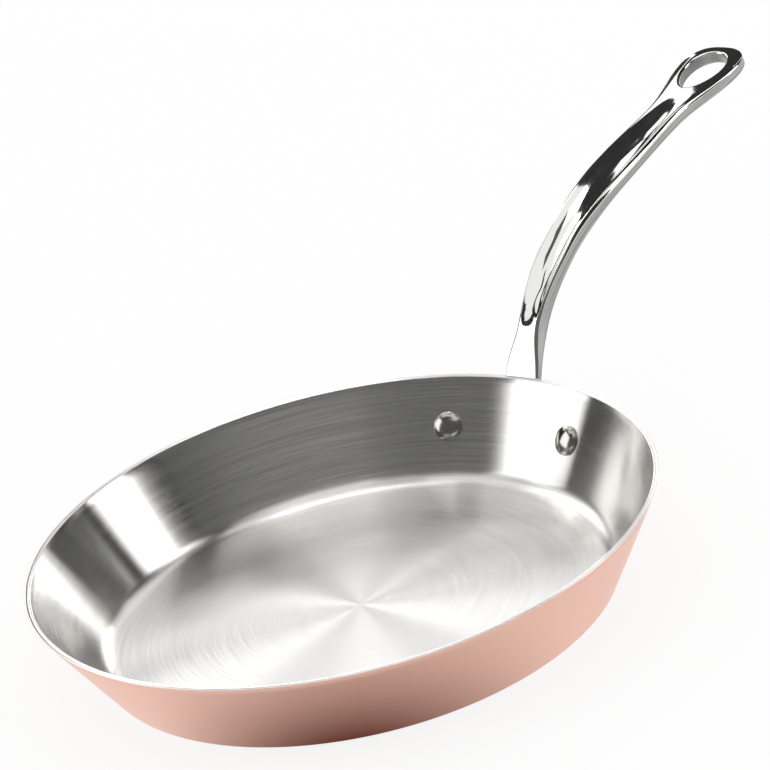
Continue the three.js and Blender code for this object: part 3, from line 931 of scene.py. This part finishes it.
# %% The floor
FLOOR_RADIUS, FLOOR_LEVEL, FLOOR_GLOW = 30000, -0.4, 0.85
FLOOR_RINGS, FLOOR_TURNS = 30, 64


def white_share(tree):
    """1 for what the camera sees directly or in metal or glass, and 0 for the light that falls
    on things."""
    path = tree.nodes.new("ShaderNodeLightPath").outputs
    seen = arithmetic(tree, "ADD", path["Is Camera Ray"], path["Is Glossy Ray"])
    seen = arithmetic(tree, "ADD", seen, path["Is Transmission Ray"])
    seen.node.use_clamp = True
    return seen


floor_line = np.stack([np.linspace(0, FLOOR_RADIUS, FLOOR_RINGS),
                       np.full(FLOOR_RINGS, FLOOR_LEVEL)], -1)
floor = make_piece("studio_floor", [turned(floor_line, FLOOR_TURNS)])
floor.data.flip_normals()
paper, tree = new_material("white_paper")
shader = tree.nodes["Principled BSDF"]
shader.inputs["Base Color"].default_value = (0.95, 0.95, 0.95, 1)
shader.inputs["Roughness"].default_value = 0.9
glow = tree.nodes.new("ShaderNodeEmission").outputs[0]
glow_share = arithmetic(tree, "MULTIPLY", white_share(tree), FLOOR_GLOW)
shown = blended(tree, glow_share, shader.outputs[0], glow)
tree.links.new(shown, tree.nodes["Material Output"].inputs["Surface"])
floor.data.materials.append(paper)
floor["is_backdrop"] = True

# %% [markdown]
# ## Cards round the pan
#
# Large white and dark cards stand round the pan, as a photographer would set them. Each is a
# patch of a big ball, so two angles place it. It glows evenly, or not at all, and can fade out
# towards its edges, as the light on a real softbox does. A hard edge gives the crisp bars that a
# brushed wall shows, and a fading one gives the soft ones. The cards are seen only in the metal
# and light nothing else: the pan's own light comes from the room.
#
# A card has straight edges, which suits a softbox. The dark shapes in the polished handle have
# bent ones, so a curtain is a card whose lower and upper edges follow a few stations. A mat lies
# on the floor and gives the copper and the inside of the wall something to mirror from below. The
# dark, warm mat in front of the pan is a painted shadow: it stands in for the pan's own shadow on
# the floor, warmed by the light that the copper throws into it.
#
# Most cards stand far away, where every part of the pan sees them alike. Two small dark cards
# stand close to the handle, so that the bow mirrors them and the rest of the pan hardly does.

# %% A sheet that glows
def glowing(name, points, glow, fade, tone=(1, 1, 1)):
    """A sheet that glows in one tone, or is black with no glow, and fades out over a share of its
    width. It is seen in metal only."""
    across, along = (np.linspace(0, 1, size) for size in points.shape[:2])
    piece = make_piece(name, [{"points": points, "uv": (across, along)}])
    material, tree = new_material(name)
    tree.nodes.remove(tree.nodes["Principled BSDF"])
    light = tree.nodes.new("ShaderNodeEmission")
    light.inputs["Color"].default_value = (*tone, 1)
    light.inputs["Strength"].default_value = glow
    shown = light.outputs[0]
    if fade:
        off_middle = operation(tree, "SUBTRACT", grid_place(tree), (0.5, 0.5, 0))
        sides = parts(tree, operation(tree, "ABSOLUTE", off_middle))
        edges = [remap(tree, sides[side], 1, 0, 0.5 - fade, 0.5, smooth=True) for side in "XY"]
        clear = tree.nodes.new("ShaderNodeBsdfTransparent").outputs[0]
        shown = blended(tree, arithmetic(tree, "MULTIPLY", *edges), clear, shown)
    tree.links.new(shown, tree.nodes["Material Output"].inputs["Surface"])
    piece.data.materials.append(material)
    piece.visible_camera = piece.visible_diffuse = piece.visible_shadow = False
    piece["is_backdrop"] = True


# %% Cards, curtains and mats
MAT_LEVEL = -0.3


def on_ball(azimuth, elevation, away):
    """Points of a ball at two angles: x = R cos e cos a, y = R cos e sin a, z = R sin e."""
    a, e = np.radians(np.broadcast_arrays(azimuth, elevation))
    return away * np.stack([np.cos(e) * np.cos(a), np.cos(e) * np.sin(a), np.sin(e)], -1)


def card(name, azimuth, elevation, glow, fade=0.0, away=26000.0, middle=(0, 0, 0)):
    """A patch of a ball between two azimuths and two elevations, seen from the ball's middle."""
    columns, rows = np.linspace(*azimuth, 33), np.linspace(*elevation, 17)[:, None]
    glowing(name, on_ball(columns, rows, away) + middle, glow, fade)


def curtain(name, stations, glow, away=24000.0):
    """A patch of a ball with bent edges: each station is an azimuth with the lower and the upper
    elevation there, and the edges run straight from one station to the next."""
    azimuth, low, high = np.array(stations, float).T
    columns = np.linspace(azimuth[0], azimuth[-1], 241)
    low, high = np.interp(columns, azimuth, low), np.interp(columns, azimuth, high)
    rows = low + (high - low) * np.linspace(0, 1, 9)[:, None]
    glowing(name, on_ball(columns, rows, away), glow, 0)


def mat(name, azimuth, radius, glow, fade=0.0, tone=(1, 1, 1), middle=(0, 0)):
    """A piece of a ring that lies on the floor between two azimuths and two radii."""
    a, r = np.meshgrid(np.radians(np.linspace(*azimuth, 33)), np.linspace(*radius, 5))
    points = np.stack([r * np.cos(a), r * np.sin(a), np.zeros(a.shape)], -1)
    glowing(name, points + (*middle, MAT_LEVEL), glow, fade, tone)


# %% Set the cards
card("dark_behind_camera", (143, 299), (0, 53), 0.13, fade=0.02)
card("dark_stand_right", (280, 299), (55, 75), 0.03, fade=0.1)
card("softbox_far_right", (-9, 34), (0, 20), 2.2, fade=0.1)
card("strip_far_right", (-4, 30), (-2, 26), 5.0, fade=0.16, away=25500)
card("softbox_behind", (30, 50.6), (0, 43), 1.35)
card("strip_behind", (38.5, 47.5), (0, 24), 3.3, away=25500)
card("softbox_behind_left", (60, 80), (20, 46), 3.0, away=25000)
card("softbox_left", (109, 143), (0, 41), 1.9, fade=0.02, away=25000)
card("bar_above_softbox", (100, 150), (39, 46.5), 0.03, away=24500)
card("softbox_right", (300.6, 320.0), (0, 50), 2.6, away=25000)
card("flag_beside_softbox", (286, 300.8), (0, 60), 0.03, away=24500)
card("flag_right", (319, 349), (0, 60), 0.0, fade=0.03, away=24000)
card("strip_overhead", (28, 58), (52, 70), 3.4, away=25000)
card("bar_overhead", (20, 135), (70, 83), 0.1, fade=0.1, away=23000)
card("dark_post", (42.3, 47), (-5, 36), 0.03, away=1000, middle=(225, 0, 100))
card("dark_card_at_bow", (-12, 46), (3, 56), 0.03, away=160, middle=(305, 0, 110))
curtain("flag_left",
        [(58, 0, 20), (90, 0, 27), (101, 0, 33), (103, 0, 58), (109.5, 0, 58)], 0.02)
curtain("dark_slope",
        [(134, 44, 50), (143, 45, 56), (152, 50, 62), (175, 54, 65), (188, 56, 66),
         (196, 58, 62)], 0.03)
curtain("dark_arch",
        [(-62, 57, 66), (-25, 57, 66), (0, 56.5, 64), (10, 55, 63.5), (20, 50.5, 62),
         (30, 43, 59), (35, 38, 57), (38, 35, 55.5), (40, 34, 54.5), (42, 33, 53.5),
         (46, 30, 52.5), (49, 27, 52), (50.2, 24, 52), (50.6, 5, 52), (60, 7, 44)], 0.03)
card("edge_right", (285, 338), (-2, 4), 0.03, away=23000)
# Painted shadow: a dark, copper-warm sheet under the front of the pan stands in for the pan's own
# shadow on the floor, and is seen only in the metal.
mat("painted_shadow_in_front", (160, 268), (25, 170), 0.11, fade=0.5, tone=(1, 0.22, 0.1))
mat("mat_under_handle", (100, 228), (70, 150), 0.3, middle=(300, 0))
mat("mat_on_the_right", (228, 376), (70, 500), 0.45, fade=0.05, middle=(300, 0))

# %% [markdown]
# ## The camera
#
# The pan is seen from in front and to the left of its handle, from a little way up, through a
# long lens, and the whole view is rolled so that the rim slopes down to the left. The camera
# could be aimed with a constraint, but three angles and a place give the roll as well.

# %% Set the camera
HEADING, TILT, ROLL = np.radians(47.8), np.radians(23.89), np.radians(13.55)
CAMERA_AT = (-1.03450, -0.97927, 0.72469)
LENS, SENSOR = 184.35, 36
back = np.array([0, -np.cos(TILT), np.sin(TILT)])
right = np.array([1.0, 0, 0])
up = np.cross(back, right)
right, up = (np.cos(ROLL) * right - np.sin(ROLL) * up, np.sin(ROLL) * right + np.cos(ROLL) * up)
turn = np.array([[np.cos(HEADING), -np.sin(HEADING), 0], [np.sin(HEADING), np.cos(HEADING), 0],
                 [0, 0, 1]])
view = Matrix((np.stack([right, up, back]) @ turn).T.tolist()).to_4x4()
view.translation = CAMERA_AT
camera_data = bpy.data.cameras.new("camera")
camera_data.lens, camera_data.sensor_width = LENS, SENSOR
camera = bpy.data.objects.new("camera", camera_data)
camera.matrix_world = view
bpy.context.scene.collection.objects.link(camera)
bpy.context.scene.camera = camera
bpy.context.scene.view_settings.view_transform = "Standard"
print(f"camera: a {LENS} mm lens, {np.linalg.norm(CAMERA_AT):.2f} m from the middle of the pan")

# %% [markdown]
# ## Measure the sizes
#
# The smooth pieces must fill the same box as the solids they stand for. Both boxes are printed.

# %% Measure both boxes
bpy.context.view_layer.update()
looks_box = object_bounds()
for name, box in (("solids", solids_box), ("looks", looks_box)):
    print(name, [[round(value, 4) for value in corner] for corner in box])
